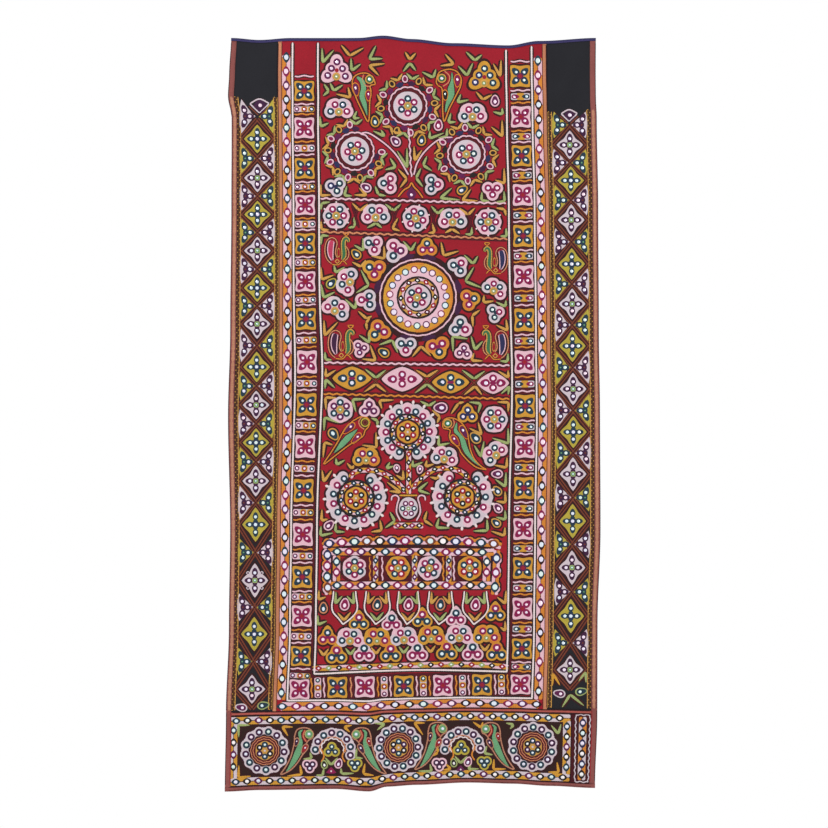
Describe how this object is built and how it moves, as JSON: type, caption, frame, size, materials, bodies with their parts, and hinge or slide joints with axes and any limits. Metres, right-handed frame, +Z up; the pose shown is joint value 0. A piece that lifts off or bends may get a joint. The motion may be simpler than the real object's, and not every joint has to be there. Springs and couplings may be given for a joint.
{
  "type": "embroidered wall hanging",
  "caption": "Tall mirror-work embroidered cotton wall hanging with a red centre panel, dark side strips, a deep hem band, seam trims and bound edges, hung by its top edge",
  "frame": {"origin": "middle of the top edge, where the hanging is held", "axes": "+Z up along the hanging's length, +X to the right as one faces it, the embroidered face towards -Y"},
  "size_m": [0.7286, 0.0145, 1.4654],
  "materials": {
    "red_cotton": "plain woven red cotton, matte",
    "black_cotton": "plain woven black cotton, matte",
    "hem_cotton": "dark brown cotton, matte",
    "maroon_cotton": "dark maroon cotton, matte",
    "blue_binding": "blue-violet cotton binding",
    "edge_binding": "faded mauve cotton binding",
    "seam_trim": "faded salmon cotton strip",
    "embroidery_thread": "stitched cotton and floss thread in many colours",
    "mirror_glass": "small silvered glass rounds"
  },
  "bodies": {
    "root": {"centre_panel": "red_cotton", "left_strip": "black_cotton", "right_strip": "black_cotton", "hem_band": "hem_cotton", "hem_end_piece": "maroon_cotton", "top_binding": "blue_binding", "left_binding": "edge_binding", "right_binding": "edge_binding", "bottom_binding": "edge_binding", "left_seam_trim": "seam_trim", "right_seam_trim": "seam_trim", "hem_seam_trim": "seam_trim"}
  },
  "joints": []
}
